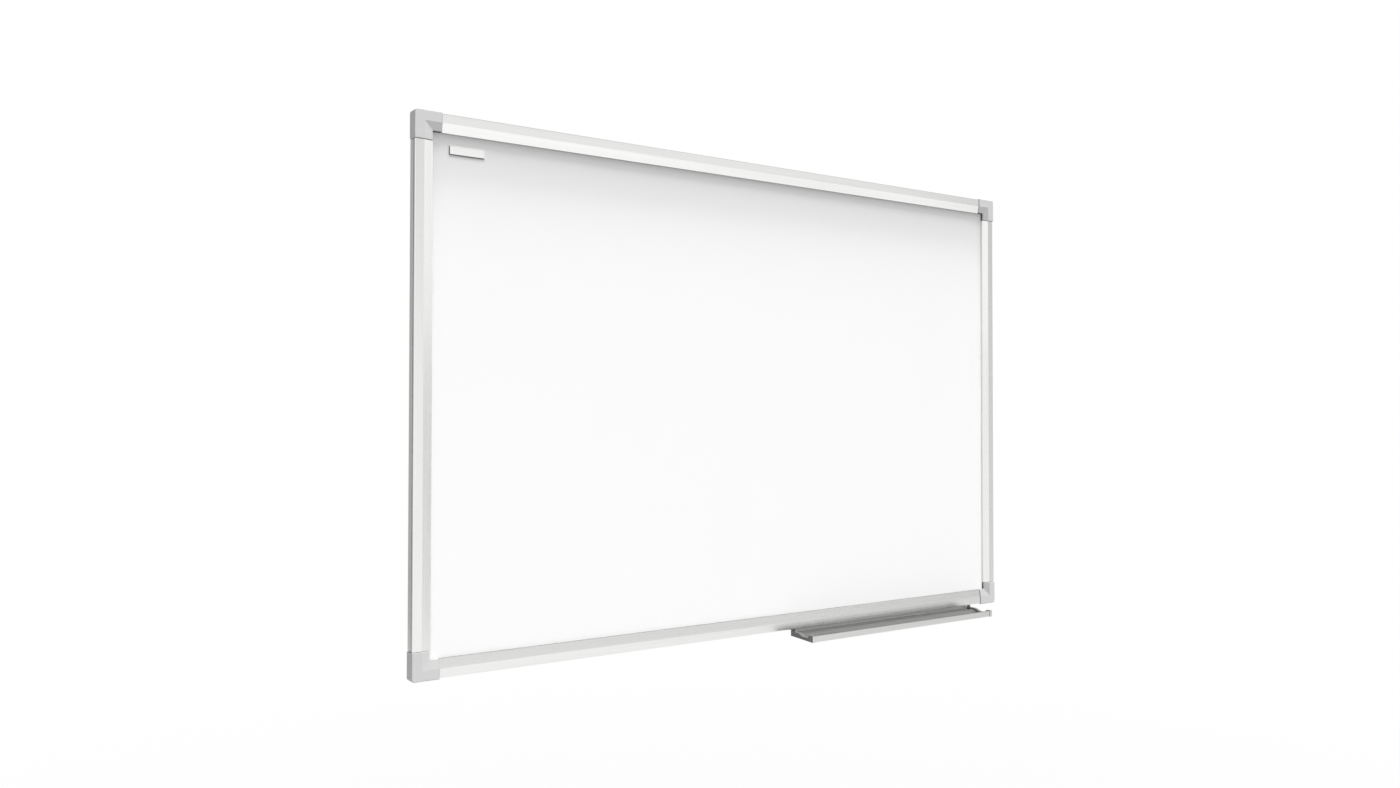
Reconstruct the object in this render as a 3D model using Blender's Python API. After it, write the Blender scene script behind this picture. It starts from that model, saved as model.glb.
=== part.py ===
# Magnetic whiteboard for a wall: a lacquered steel sheet on a core board, held in four
# aluminium rails with plastic corners, and a pen tray that slides along the bottom rail.
# Metres, +Z up. The origin is the middle of the back, in the wall's plane; the board
# faces -Y. A section is drawn with "rise", away from a rail's outer face towards the
# middle of the board, and "forward", away from the wall.

import math

import bmesh
import bpy
from mathutils import Matrix, Vector

# Whole board, measured over the rails
board_length = 0.900
board_height = 0.600
frame_depth = 0.014

# Clearances
fit_gap = 0.0003
cut_overrun = 0.002
weld_distance = 0.00001

# Rail section
rail_width = 0.0206
rail_wall = 0.0012
flat_width = 0.0102
bevel_drop = 0.0022
nose_height = 0.0026
front_edge_radius = 0.0010
back_flange_width = 0.018
chamber_width = 0.0050
groove_mouth = 0.0020
groove_recess = 0.0048
groove_depth = 0.0022
groove_setback = 0.0044

# Panel layers
surface_thickness = 0.0005
back_sheet_thickness = 0.0004

# Blank plate at the upper left of the writing surface
label_length = 0.041
label_height = 0.010
label_thickness = 0.0004
label_corner_radius = 0.0008
label_left = 0.0393
label_drop = 0.0322

# Corner cap
cap_arm = 0.030
cap_proud = 0.0009
cap_wall = 0.0016
cap_corner_radius = 0.0030
cap_edge_radius = 0.0006
cap_lip_gap = 0.0011
cap_wall_clearance = 0.0003
post_size = 0.0030
post_place = 0.0215
post_depth = 0.0075

# Corner base
leg_length = 0.028
leg_height = 0.0106
hole_inset = 0.0060
hole_diameter = 0.0046
head_recess_diameter = 0.0080
head_recess_depth = 0.0040

# Pen tray
tray_length = 0.328
tray_depth = 0.0426
tray_wall = 0.0014
tray_right_inset = 0.048
foot_thickness = 0.0016
shelf_drop = 0.0046
shelf_depth = 0.0130
slope_depth = 0.0080
trough_drop = 0.0078
lip_drop = 0.0032
lip_height = 0.0081
bead_width = 0.0026
bead_height = 0.0014
rear_leg_drop = 0.0090

# Pen tray's end caps
end_cap_thickness = 0.0050
end_cap_border = 0.0010
end_cap_rise = 0.0013
end_cap_edge = 0.0003
end_cap_corner_radius = 0.0010
plug_length = 0.010

# Places that several pieces share
half_length = board_length / 2
half_height = board_height / 2
bevel_slope = bevel_drop / (rail_width - flat_width)
bevel_stretch = math.hypot(1, bevel_slope)
lip_forward = frame_depth - bevel_drop - nose_height
groove_forward = frame_depth - groove_setback
chamber_rise = rail_wall + groove_depth + rail_wall
web_rise = chamber_rise + chamber_width + rail_wall
panel_inset = web_rise + fit_gap
surface_front = lip_forward - fit_gap
surface_back = surface_front - surface_thickness
back_sheet_back = rail_wall + fit_gap
back_sheet_front = back_sheet_back + back_sheet_thickness
cap_front = frame_depth + cap_proud
cap_outer = -cap_proud
cap_inner = cap_outer + cap_wall
cap_hollow_front = cap_front - cap_wall
cap_lip_forward = surface_front + cap_lip_gap
base_outer = cap_inner + fit_gap
base_corner_radius = cap_corner_radius - cap_wall - fit_gap
arm_middle = (base_outer + web_rise) / 2
rail_setback = cap_arm + fit_gap
tray_back = groove_forward - tray_wall / 2
tray_front = tray_back + tray_depth
tray_span = tray_length + 2 * (fit_gap + end_cap_thickness)
tray_middle = half_length - tray_right_inset - tray_span / 2

arc_steps = 4
hole_sides = 24
quarter_turn = math.pi / 2
flat_angle = math.radians(1)
smooth_angle = math.radians(35)

aluminium = {"colour": (0.74, 0.74, 0.73), "roughness": 0.34, "metallic": 1.0}
cap_plastic = {"colour": (0.62, 0.63, 0.64), "roughness": 0.45, "metallic": 0.0}
base_plastic = {"colour": (0.36, 0.37, 0.38), "roughness": 0.55, "metallic": 0.0}
end_cap_plastic = {"colour": (0.30, 0.30, 0.31), "roughness": 0.5, "metallic": 0.0}
white_lacquer = {"colour": (0.92, 0.92, 0.92), "roughness": 0.12, "metallic": 0.0}
galvanised = {"colour": (0.55, 0.56, 0.57), "roughness": 0.45, "metallic": 1.0}
core_fibre = {"colour": (0.42, 0.30, 0.19), "roughness": 0.9, "metallic": 0.0}
label_film = {"colour": (0.85, 0.85, 0.84), "roughness": 0.3, "metallic": 0.0}


# Scene, materials and objects

def emptyScene():
    for item in list(bpy.data.objects):
        bpy.data.objects.remove(item, do_unlink=True)


def newCollection(name):
    collection = bpy.data.collections.new(name)
    bpy.context.scene.collection.children.link(collection)
    return collection


def giveMaterial(item, finish):
    material = bpy.data.materials.new(item.name)
    material.use_nodes = True
    shader = material.node_tree.nodes["Principled BSDF"]
    shader.inputs["Base Color"].default_value = (*finish["colour"], 1)
    shader.inputs["Roughness"].default_value = finish["roughness"]
    shader.inputs["Metallic"].default_value = finish["metallic"]
    item.data.materials.append(material)


def placeObject(name, mesh, collection, location, rotation=(0, 0, 0), parent=None):
    item = bpy.data.objects.new(name, mesh)
    item.location = location
    item.rotation_euler = rotation
    item.parent = parent
    collection.objects.link(item)
    return item


def hideCutter(item):
    item.display_type = "WIRE"
    item.hide_render = True
    return item


def placeCutter(mesh, anchor):
    name = mesh.name + "_at_" + anchor.name
    return hideCutter(placeObject(name, mesh, cutters, (0, 0, 0), parent=anchor))


def cut(item, tool, operation="DIFFERENCE"):
    modifier = item.modifiers.new(tool.name, "BOOLEAN")
    modifier.object = tool
    modifier.operation = operation


# Outlines and meshes

def arcPoints(centre, radius, start, end):
    angles = [start + (end - start) * step / arc_steps for step in range(arc_steps + 1)]
    return [(centre[0] + radius * math.cos(a), centre[1] + radius * math.sin(a)) for a in angles]


def rectangle(left, low, right, high):
    return [(left, low), (right, low), (right, high), (left, high)]


# A flat outline, with any holes as further loops, drawn out to a depth along local Z.
def outlineMesh(name, loops, depth):
    curve = bpy.data.curves.new(name, "CURVE")
    curve.dimensions = "2D"
    curve.fill_mode = "BOTH"
    curve.extrude = depth / 2
    for loop in loops:
        spline = curve.splines.new("POLY")
        spline.points.add(len(loop) - 1)
        for point, (across, along) in zip(spline.points, loop):
            point.co = (across, along, 0, 1)
        spline.use_cyclic_u = True
    guide = bpy.data.objects.new(name, curve)
    bpy.context.scene.collection.objects.link(guide)
    depsgraph = bpy.context.evaluated_depsgraph_get()
    mesh = bpy.data.meshes.new_from_object(guide.evaluated_get(depsgraph))
    bpy.data.objects.remove(guide)
    work = bmesh.new()
    work.from_mesh(mesh)
    bmesh.ops.remove_doubles(work, verts=work.verts, dist=weld_distance)
    bmesh.ops.dissolve_limit(work, angle_limit=flat_angle, verts=work.verts, edges=work.edges)
    bmesh.ops.recalc_face_normals(work, faces=work.faces)
    work.to_mesh(mesh)
    work.free()
    mesh.shade_smooth()
    mesh.set_sharp_from_angle(angle=smooth_angle)
    return mesh


def boxMesh(name, low, high):
    mesh = bpy.data.meshes.new(name)
    work = bmesh.new()
    size = Vector(high) - Vector(low)
    middle = (Vector(high) + Vector(low)) / 2
    bmesh.ops.create_cube(work, size=1, matrix=Matrix.Translation(middle) @ Matrix.Diagonal((*size, 1)))
    work.to_mesh(mesh)
    work.free()
    return mesh


# A block whose two near sides lean, so that it takes off everything in front of two
# bevels that meet in a mitre.
def mitreMesh(name, near_front, near_back, far, front, back):
    mesh = boxMesh(name, (near_front, -front, near_front), (far, -back, far))
    for vertex in mesh.vertices:
        if vertex.co.y > (-front - back) / 2:
            vertex.co.x = max(vertex.co.x, near_back)
            vertex.co.z = max(vertex.co.z, near_back)
    return mesh


# An object drawn from (rise, forward) points and drawn out along X.
def placeSection(name, loops, length, collection, location, turn=0, parent=None):
    flipped = [[(-rise, -forward) for rise, forward in loop] for loop in loops]
    mesh = outlineMesh(name, flipped, length)
    return placeObject(name, mesh, collection, location, (0, quarter_turn + turn, 0), parent)


# Panel

def panelLayer(name, back, front, finish):
    side = half_length - panel_inset
    top = half_height - panel_inset
    mesh = boxMesh(name, (-side, -front, -top), (side, -back, top))
    giveMaterial(placeObject(name, mesh, parts, (0, 0, 0)), finish)


def roundedPlate(length, height, radius):
    side = length / 2 - radius
    top = height / 2 - radius
    centres = [(side, top), (-side, top), (-side, -top), (side, -top)]
    loop = []
    for turn, centre in enumerate(centres):
        loop += arcPoints(centre, radius, turn * quarter_turn, (turn + 1) * quarter_turn)
    return loop


def buildPanel():
    panelLayer("writing_surface", surface_back, surface_front, white_lacquer)
    panelLayer("core_board", back_sheet_front + fit_gap, surface_back - fit_gap, core_fibre)
    panelLayer("back_sheet", back_sheet_back, back_sheet_front, galvanised)
    loop = roundedPlate(label_length, label_height, label_corner_radius)
    mesh = outlineMesh("label_plate", [loop], label_thickness)
    place = (
        label_left + label_length / 2 - half_length,
        -surface_front - fit_gap - label_thickness / 2,
        half_height - label_drop - label_height / 2,
    )
    giveMaterial(placeObject("label_plate", mesh, parts, place, (quarter_turn, 0, 0)), label_film)


# Frame rails

# Front of a surface that runs level over the flat and then falls along the bevel, set
# off from the rail's own surface by a distance along its normal.
def bevelForward(rise, offset=0):
    return frame_depth + offset * bevel_stretch - bevel_slope * (rise - flat_width)


def bevelRise(forward, offset=0):
    return flat_width + (frame_depth + offset * bevel_stretch - forward) / bevel_slope


def railLoops():
    radius = front_edge_radius
    mouth_back = groove_forward - groove_mouth / 2
    mouth_front = groove_forward + groove_mouth / 2
    recess_back = groove_forward - groove_recess / 2
    recess_front = groove_forward + groove_recess / 2
    recess_rise = rail_wall + groove_depth
    outline = [
        (0, 0),
        (back_flange_width, 0),
        (back_flange_width, rail_wall),
        (web_rise, rail_wall),
        (web_rise, bevelForward(web_rise, -rail_wall)),
        (rail_width - rail_wall, bevelForward(rail_width - rail_wall, -rail_wall)),
        (rail_width - rail_wall, lip_forward),
        (rail_width, lip_forward),
        (rail_width, lip_forward + nose_height),
        (flat_width, frame_depth),
    ]
    outline += arcPoints((radius, frame_depth - radius), radius, quarter_turn, 2 * quarter_turn)
    outline += [
        (0, mouth_front),
        (rail_wall, mouth_front),
        (rail_wall, recess_front),
        (recess_rise, recess_front),
        (recess_rise, recess_back),
        (rail_wall, recess_back),
        (rail_wall, mouth_back),
        (0, mouth_back),
    ]
    chamber_front = frame_depth - rail_wall
    chamber = [
        (rail_wall, rail_wall),
        (chamber_rise + chamber_width, rail_wall),
        (chamber_rise + chamber_width, chamber_front),
        (chamber_rise, chamber_front),
        (chamber_rise, recess_back - rail_wall),
        (rail_wall, recess_back - rail_wall),
    ]
    return [outline, chamber]


def buildRails():
    rails = [
        ("rail_bottom", half_height, board_length),
        ("rail_left", half_length, board_height),
        ("rail_top", half_height, board_length),
        ("rail_right", half_length, board_height),
    ]
    for turns, (name, reach, span) in enumerate(rails):
        turn = turns * quarter_turn
        place = Matrix.Rotation(turn, 3, "Y") @ Vector((0, 0, -reach))
        length = span - 2 * rail_setback
        giveMaterial(placeSection(name, railLoops(), length, parts, place, turn), aluminium)


# Corners: local X and Z run in along the two rails from the frame's outer corner.

def elbowLoop(outer, width, arm, radius):
    corner = (outer + radius, outer + radius)
    loop = arcPoints(corner, radius, 2 * quarter_turn, 3 * quarter_turn)
    return loop + [(arm, outer), (arm, width), (width, width), (width, arm), (outer, arm)]


def elbowMesh(name, outer, width, arm, radius, back, front):
    mesh = outlineMesh(name, [elbowLoop(outer, width, arm, radius)], front - back)
    mesh.transform(Matrix.Translation((0, -(back + front) / 2, 0)) @ Matrix.Rotation(quarter_turn, 4, "X"))
    return mesh


# Rounds the edge between the front and the two outer sides of an elbow.
def roundFrontEdge(mesh, front, outer, corner_radius, edge_radius):
    reach = outer + corner_radius / 2
    work = bmesh.new()
    work.from_mesh(mesh)
    edges = [
        edge for edge in work.edges
        if all(abs(v.co.y + front) < weld_distance and min(v.co.x, v.co.z) < reach for v in edge.verts)
    ]
    bmesh.ops.bevel(work, geom=edges, offset=edge_radius, segments=3, profile=0.5, affect="EDGES")
    work.to_mesh(mesh)
    work.free()
    mesh.shade_smooth()
    mesh.set_sharp_from_angle(angle=smooth_angle)


def mitreCutter(name, offset, front):
    top = front + cut_overrun
    far = cap_arm + cut_overrun
    near_back = rail_width + cut_overrun
    low = bevelForward(near_back, offset)
    return mitreMesh(name, bevelRise(top, offset), near_back, far, top, low)


def cylinderMesh(name, diameter, place, back, front):
    mesh = bpy.data.meshes.new(name)
    work = bmesh.new()
    stand = Matrix.Translation((place, -(back + front) / 2, place)) @ Matrix.Rotation(quarter_turn, 4, "X")
    bmesh.ops.create_cone(
        work, cap_ends=True, segments=hole_sides, radius1=diameter / 2, radius2=diameter / 2,
        depth=front - back, matrix=stand,
    )
    work.to_mesh(mesh)
    work.free()
    return mesh


# Square blocks on both arms of a corner: the posts of the cap or their sockets.
def armBlocks(name, size, back, front):
    low = post_place - size / 2
    high = post_place + size / 2
    near = arm_middle - size / 2
    wide = arm_middle + size / 2
    return [
        boxMesh(name + "_across", (low, -front, near), (high, -back, wide)),
        boxMesh(name + "_upright", (near, -front, low), (wide, -back, high)),
    ]


def capTools():
    hollow = elbowMesh(
        "cap_hollow", cap_inner, rail_width - cap_wall, cap_arm + cut_overrun,
        cap_corner_radius - cap_wall, -cut_overrun, cap_hollow_front,
    )
    far = cap_arm + cut_overrun
    near = web_rise
    clearance = boxMesh("cap_panel_cut", (near, -cap_lip_forward, near), (far, cut_overrun, far))
    posts = armBlocks("cap_post", post_size, cap_hollow_front - post_depth, cap_hollow_front + cap_wall / 2)
    return {
        "bevel": mitreCutter("cap_bevel", cap_proud, cap_front),
        "hollow": hollow,
        "skin": mitreCutter("cap_skin", cap_proud - cap_wall, cap_hollow_front),
        "clearance": clearance,
        "posts": posts,
    }


def baseTools(base_front):
    far = cap_arm + cut_overrun
    notch = boxMesh("base_notch", (web_rise, -base_front - cut_overrun, web_rise), (far, -rail_wall, far))
    low = chamber_rise + fit_gap
    high = chamber_rise + chamber_width - fit_gap
    back = rail_wall + fit_gap
    end = cap_arm + leg_length
    start = cap_arm - cut_overrun
    legs = [
        boxMesh("base_leg_across", (start, -back - leg_height, low), (end, -back, high)),
        boxMesh("base_leg_upright", (low, -back - leg_height, start), (high, -back, end)),
    ]
    top = base_front + cut_overrun
    hole = cylinderMesh("base_hole", hole_diameter, hole_inset, -cut_overrun, top)
    recess = cylinderMesh("base_recess", head_recess_diameter, hole_inset, base_front - head_recess_depth, top)
    socket_back = cap_hollow_front - post_depth - fit_gap
    sockets = armBlocks("base_socket", post_size + 2 * fit_gap, socket_back, top)
    return {"legs": legs, "cuts": [notch, hole, recess, *sockets]}


def buildCorners():
    base_front = bevelForward(web_rise + fit_gap, cap_proud - cap_wall) - fit_gap
    cap_mesh = elbowMesh(
        "corner_cap", cap_outer, rail_width, cap_arm, cap_corner_radius, cap_wall_clearance, cap_front,
    )
    roundFrontEdge(cap_mesh, cap_front, cap_outer, cap_corner_radius, cap_edge_radius)
    base_mesh = elbowMesh(
        "corner_base", base_outer, back_flange_width, cap_arm, base_corner_radius, 0, base_front,
    )
    cap_tools = capTools()
    base_tools = baseTools(base_front)
    corners = [
        ("bottom_left", (-half_length, 0, -half_height)),
        ("top_left", (-half_length, 0, half_height)),
        ("top_right", (half_length, 0, half_height)),
        ("bottom_right", (half_length, 0, -half_height)),
    ]
    for turns, (corner, place) in enumerate(corners):
        anchor = placeObject("anchor_" + corner, None, parts, place, (0, turns * quarter_turn, 0))
        cap = placeObject("corner_cap_" + corner, cap_mesh.copy(), parts, (0, 0, 0), parent=anchor)
        giveMaterial(cap, cap_plastic)
        hollow = placeCutter(cap_tools["hollow"], anchor)
        cut(hollow, placeCutter(cap_tools["skin"], anchor))
        cut(cap, placeCutter(cap_tools["bevel"], anchor))
        cut(cap, hollow)
        cut(cap, placeCutter(cap_tools["clearance"], anchor))
        for post in cap_tools["posts"]:
            cut(cap, placeCutter(post, anchor), "UNION")

        base = placeObject("corner_base_" + corner, base_mesh.copy(), parts, (0, 0, 0), parent=anchor)
        giveMaterial(base, base_plastic)
        for leg in base_tools["legs"]:
            cut(base, placeCutter(leg, anchor), "UNION")
        for tool in base_tools["cuts"]:
            cut(base, placeCutter(tool, anchor))


# Pen tray

def slopeShift():
    fall = math.atan2(trough_drop - shelf_drop, slope_depth)
    return tray_wall * math.tan(fall / 2)


def trayLoop():
    web_front = tray_back + tray_wall
    middle = tray_back + tray_wall / 2
    foot_half = groove_recess / 2 - fit_gap
    foot_low = rail_wall + fit_gap
    foot_high = foot_low + foot_thickness
    slope_back = tray_back + shelf_depth
    slope_front = slope_back + slope_depth
    lip_back = tray_front - tray_wall
    lip_low = -lip_drop - lip_height
    return [
        (foot_high, middle - foot_half),
        (foot_high, middle + foot_half),
        (foot_low, middle + foot_half),
        (foot_low, web_front),
        (-shelf_drop, web_front),
        (-shelf_drop, slope_back),
        (-trough_drop, slope_front),
        (-trough_drop, lip_back),
        (-lip_drop - bead_height, lip_back),
        (-lip_drop - bead_height, tray_front - bead_width),
        (-lip_drop, tray_front - bead_width),
        (-lip_drop, tray_front),
        (lip_low, tray_front),
        (lip_low, lip_back),
        (-trough_drop - tray_wall, lip_back),
        (-trough_drop - tray_wall, slope_front - slopeShift()),
        (-shelf_drop - tray_wall, slope_back - slopeShift()),
        (-shelf_drop - tray_wall, web_front),
        (-rear_leg_drop, web_front),
        (-rear_leg_drop, tray_back),
        (foot_low, tray_back),
        (foot_low, middle - foot_half),
    ]


def endCapLoop():
    border = end_cap_border
    radius = end_cap_corner_radius
    web_front = tray_back + tray_wall
    slope_back = tray_back + shelf_depth
    slope_front = slope_back + slope_depth
    front = tray_front + end_cap_edge
    shelf = end_cap_rise - shelf_drop
    trough = end_cap_rise - trough_drop
    lip = end_cap_edge - lip_drop
    ramp = lip - trough
    lip_back = tray_front - bead_width - 2 * ramp
    loop = [
        (-rear_leg_drop - end_cap_edge, tray_back - border),
        (-fit_gap, tray_back - border),
        (-fit_gap, web_front),
        (shelf, web_front + border),
        (shelf, slope_back + border),
        (trough, slope_front + border),
        (trough, lip_back),
        (lip, lip_back + ramp),
    ]
    loop += arcPoints((lip - radius, front - radius), radius, 0, quarter_turn)
    loop += [(-lip_drop - lip_height - end_cap_edge, front)]
    return loop


def buildTray():
    runner = placeObject("tray_runner", None, parts, (tray_middle, 0, -half_height))
    tray = placeSection("tray", [trayLoop()], tray_length, parts, (0, 0, 0), parent=runner)
    giveMaterial(tray, aluminium)
    web_front = tray_back + tray_wall
    plug_low = -rear_leg_drop
    plug_high = -shelf_drop - tray_wall - fit_gap
    plug_front = tray_back + shelf_depth - slopeShift() - fit_gap
    plug = rectangle(plug_low, web_front + fit_gap, plug_high, plug_front)
    for side, way in (("left", -1), ("right", 1)):
        middle = way * (tray_length / 2 + fit_gap + end_cap_thickness / 2)
        name = "tray_end_cap_" + side
        cap = placeSection(name, [endCapLoop()], end_cap_thickness, parts, (middle, 0, 0), parent=runner)
        giveMaterial(cap, end_cap_plastic)
        plug_span = plug_length + end_cap_thickness / 2
        plug_middle = middle - way * plug_span / 2
        tool = placeSection("end_plug_" + side, [plug], plug_span, cutters, (plug_middle, 0, 0), parent=runner)
        cut(cap, hideCutter(tool), "UNION")


emptyScene()
parts = newCollection("magnetic_whiteboard")
cutters = newCollection("cutters")
buildPanel()
buildRails()
buildCorners()
buildTray()
bpy.context.view_layer.update()
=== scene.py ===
# Looks of a wall-mounted magnetic whiteboard: aluminium rails, plastic corner caps over
# their bases, a lacquered steel panel, a blank label plate and a sliding pen tray.
# Shapes are drawn in millimetres and turn into metres when their mesh is made. In a
# section, rise runs from a rail's outer face towards the middle of the board, and
# forward runs from the wall towards the viewer.

import math

import bmesh
import bpy
from mathutils import Matrix, Vector


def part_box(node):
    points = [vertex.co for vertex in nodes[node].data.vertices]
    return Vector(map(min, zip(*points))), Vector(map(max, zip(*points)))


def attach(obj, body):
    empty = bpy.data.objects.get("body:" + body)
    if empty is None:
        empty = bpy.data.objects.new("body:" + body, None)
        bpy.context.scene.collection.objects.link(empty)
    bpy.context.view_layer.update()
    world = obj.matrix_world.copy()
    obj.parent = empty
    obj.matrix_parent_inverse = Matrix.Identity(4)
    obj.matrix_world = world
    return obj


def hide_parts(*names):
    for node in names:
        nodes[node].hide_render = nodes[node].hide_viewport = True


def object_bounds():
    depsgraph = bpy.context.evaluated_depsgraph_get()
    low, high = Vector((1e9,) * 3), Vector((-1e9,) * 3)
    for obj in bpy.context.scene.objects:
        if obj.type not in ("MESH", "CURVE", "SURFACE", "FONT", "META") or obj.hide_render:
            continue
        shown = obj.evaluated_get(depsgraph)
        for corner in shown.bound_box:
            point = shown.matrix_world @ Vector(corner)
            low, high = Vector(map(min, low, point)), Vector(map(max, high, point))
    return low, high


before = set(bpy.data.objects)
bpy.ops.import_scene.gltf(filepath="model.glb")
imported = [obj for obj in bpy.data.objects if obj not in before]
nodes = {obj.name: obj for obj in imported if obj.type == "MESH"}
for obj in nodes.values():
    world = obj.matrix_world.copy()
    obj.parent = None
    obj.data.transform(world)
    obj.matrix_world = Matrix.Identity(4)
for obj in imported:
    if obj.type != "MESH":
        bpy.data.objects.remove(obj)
cadBounds = [list(corner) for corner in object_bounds()]
print("frame loaded:", len(nodes), "nodes")

mm = 0.001
quarterTurn = math.pi / 2
cornerNames = ["bottom_left", "top_left", "top_right", "bottom_right"]

mesher = {
    "coarseSteps": 3,  # per quarter turn, on small radii
    "fineSteps": 8,  # per quarter turn, on the radii that show
    "fineRadius": 0.5,  # millimetres
    "smoothAngle": math.radians(40),
    "roomShare": 0.45,  # of the shorter edge, for a fillet
    "blockSteps": 2,
    "roundProfile": 0.5,
}

board = {
    "halfLength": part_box("rail_right")[1].x / mm,
    "halfHeight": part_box("rail_top")[1].z / mm,
    "depth": -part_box("rail_top")[0].y / mm,
    "railWidth": (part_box("rail_top")[1].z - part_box("rail_top")[0].z) / mm,
    "surfaceFront": -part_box("writing_surface")[0].y / mm,
}


# Outlines

# Rounds the corners of a closed outline; a corner is (rise, forward, radius).
def roundedLoop(corners):
    loop = []
    for index, (rise, forward, radius) in enumerate(corners):
        corner = Vector((rise, forward))
        back = Vector(corners[index - 1][:2]) - corner
        ahead = Vector(corners[(index + 1) % len(corners)][:2]) - corner
        halfBend = back.angle(ahead) / 2
        room = mesher["roomShare"] * min(back.length, ahead.length)
        reach = min(radius / math.tan(halfBend), room)
        middle = (back.normalized() + ahead.normalized()).normalized()
        centre = corner + middle * reach / math.cos(halfBend)
        start = corner + back.normalized() * reach - centre
        end = corner + ahead.normalized() * reach - centre
        sweep = math.atan2(start.cross(end), start.dot(end))
        perQuarter = mesher["fineSteps"] if radius >= mesher["fineRadius"] else mesher["coarseSteps"]
        steps = max(1, round(perQuarter * abs(sweep) / quarterTurn))
        for step in range(steps + 1):
            loop.append(centre + Matrix.Rotation(sweep * step / steps, 2) @ start)
    return loop


# Moves a closed outline into the material, which lies on the left of its direction.
def insetLoop(loop, depth):
    moved = []
    for index, point in enumerate(loop):
        before = (point - loop[index - 1]).normalized()
        after = (loop[(index + 1) % len(loop)] - point).normalized()
        side = Vector((-before.y - after.y, before.x + after.x))
        moved.append(point + side * depth * 2 / max(side.length_squared, 1))
    return moved


# Places along a swept piece, with the inset of its outline at each, for ends that
# are rounded over a radius.
def roundedStations(low, high, lowRadius, highRadius, steps=3):
    stations = []
    for end, way, radius in ((low, 1, lowRadius), (high, -1, highRadius)):
        turns = [quarterTurn * step / steps for step in range(steps + 1)]
        edge = [(end + way * radius * (1 - math.sin(t)), radius * (1 - math.cos(t))) for t in turns]
        stations += edge[::-1] if way > 0 else edge
    return stations


# Meshes

def closeHoles(work, edgeGroups):
    for edges in edgeGroups:
        bmesh.ops.triangle_fill(work, use_beauty=True, edges=edges)


# Recalculated normals can all look inwards on a bent piece. Its volume is negative then.
def finishedMesh(name, work):
    bmesh.ops.recalc_face_normals(work, faces=work.faces)
    if work.calc_volume(signed=True) < 0:
        bmesh.ops.reverse_faces(work, faces=work.faces)
    bmesh.ops.scale(work, vec=(mm, mm, mm), verts=work.verts)
    mesh = bpy.data.meshes.new(name)
    work.to_mesh(mesh)
    work.free()
    mesh.shade_smooth()
    mesh.set_sharp_from_angle(angle=mesher["smoothAngle"])
    return mesh


# Outlines swept along local X; the first is the outer one and the others are hollows.
def sweptMesh(name, loops, stations):
    work = bmesh.new()
    ends = [[], []]
    for loop in loops:
        rings = []
        for along, inset in stations:
            points = insetLoop(loop, inset)
            rings.append([work.verts.new((along, -point.y, point.x)) for point in points])
        for near, far in zip(rings, rings[1:]):
            for index in range(len(loop)):
                work.faces.new((near[index - 1], near[index], far[index], far[index - 1]))
        for end, ring in zip(ends, (rings[0], rings[-1])):
            end += [work.edges.get((ring[index - 1], ring[index])) for index in range(len(ring))]
    closeHoles(work, ends)
    return finishedMesh(name, work)


def blockMesh(name, low, high, edge):
    work = bmesh.new()
    size = Vector(high) - Vector(low)
    middle = (Vector(high) + Vector(low)) / 2
    place = Matrix.Translation(middle) @ Matrix.Diagonal((*size, 1))
    bmesh.ops.create_cube(work, size=1, matrix=place)
    bmesh.ops.bevel(
        work, geom=work.edges[:], offset=edge, segments=mesher["blockSteps"],
        profile=mesher["roundProfile"], affect="EDGES"
    )
    return finishedMesh(name, work)


def unitedMesh(name, mesh, additions):
    body = bpy.data.objects.new(name, mesh)
    bpy.context.scene.collection.objects.link(body)
    helpers = []
    for addition in additions:
        helper = bpy.data.objects.new(addition.name, addition)
        bpy.context.scene.collection.objects.link(helper)
        helpers.append(helper)
        union = body.modifiers.new(addition.name, "BOOLEAN")
        union.object = helper
        union.operation = "UNION"
    bpy.context.view_layer.update()
    depsgraph = bpy.context.evaluated_depsgraph_get()
    united = bpy.data.meshes.new_from_object(body.evaluated_get(depsgraph))
    for item in [body, *helpers]:
        bpy.data.objects.remove(item)
    united.name = name
    united.shade_smooth()
    united.set_sharp_from_angle(angle=mesher["smoothAngle"])
    return united


# A finished piece, which may stand for a node of the frame.
def placePiece(name, mesh, materials, body, node=None, location=(0, 0, 0), rotation=(0, 0, 0)):
    piece = bpy.data.objects.new(name, mesh)
    piece.location = Vector(location) * mm
    piece.rotation_euler = rotation
    bpy.context.scene.collection.objects.link(piece)
    if not mesh.materials:
        for material in materials:
            mesh.materials.append(material)
    normals = piece.modifiers.new("flatFaces", "WEIGHTED_NORMAL")
    normals.keep_sharp = True
    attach(piece, body)
    if node:
        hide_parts(node)
    return piece


# A node of the frame that keeps its shape, in its finished material.
def dressNode(node, material):
    slots = nodes[node].material_slots
    if not slots:
        nodes[node].data.materials.append(material)
    for slot in nodes[node].material_slots:
        slot.material = material


# Shader nodes

def addNode(tree, kind, settings=None, **values):
    node = tree.nodes.new(kind)
    for key, value in (settings or {}).items():
        setattr(node, key, value)
    for key, value in values.items():
        node.inputs[key].default_value = value
    return node


def newGroup(name, inputs, outputs):
    group = bpy.data.node_groups.new(name, "ShaderNodeTree")
    for socketName, value in inputs.items():
        socket = group.interface.new_socket(socketName, in_out="INPUT", socket_type="NodeSocketFloat")
        socket.default_value = value
    for socketName in outputs:
        group.interface.new_socket(socketName, in_out="OUTPUT", socket_type="NodeSocketFloat")
    return group, addNode(group, "NodeGroupInput"), addNode(group, "NodeGroupOutput")


# Links a socket to another, or gives it a plain value.
def feed(tree, socket, value):
    if isinstance(value, bpy.types.NodeSocket):
        tree.links.new(value, socket)
    else:
        socket.default_value = value


def mathNode(tree, operation, first, second):
    node = addNode(tree, "ShaderNodeMath", {"operation": operation})
    feed(tree, node.inputs[0], first)
    feed(tree, node.inputs[1], second)
    return node.outputs[0]


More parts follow.
